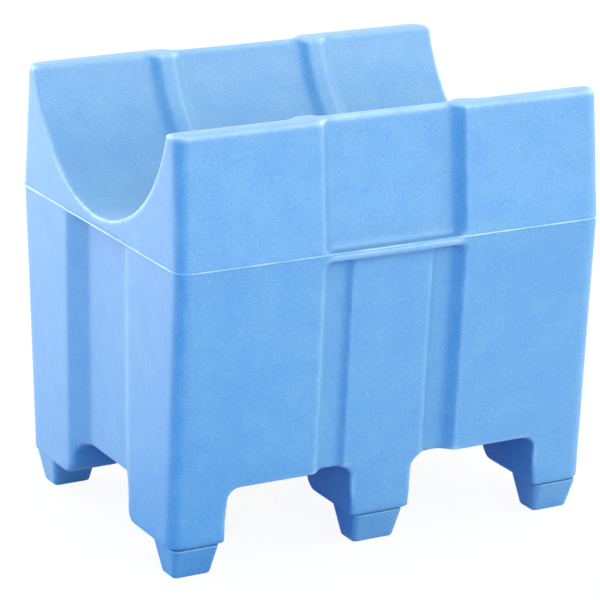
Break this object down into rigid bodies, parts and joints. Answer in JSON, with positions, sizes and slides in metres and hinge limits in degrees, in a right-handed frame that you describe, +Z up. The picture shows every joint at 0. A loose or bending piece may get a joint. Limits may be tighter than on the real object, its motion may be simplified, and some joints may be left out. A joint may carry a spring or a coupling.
{
  "type": "mounting block",
  "caption": "Hollow moulded plastic block with a round open-ended cradle between two flat-topped walls, standing on short tapered feet; for a stable yard.",
  "frame": {"origin": "bottom centre, on the plane the feet stand on", "axes": "+X along the block and its cradle, +Y across it towards the rear long wall, +Z up"},
  "size_m": [0.502, 0.402, 0.475],
  "materials": {
    "moulding": "satin",
    "seam_bead": "satin",
    "feet": "satin",
    "vent_plug": "satin"
  },
  "bodies": {
    "root": {"cradle_shell": "moulding", "base_shell": "moulding", "seam_bead": "seam_bead", "vent_plug": "vent_plug", "foot_front_left": "feet", "foot_front_middle": "feet", "foot_front_right": "feet", "foot_rear_left": "feet", "foot_rear_middle": "feet", "foot_rear_right": "feet"}
  },
  "joints": []
}
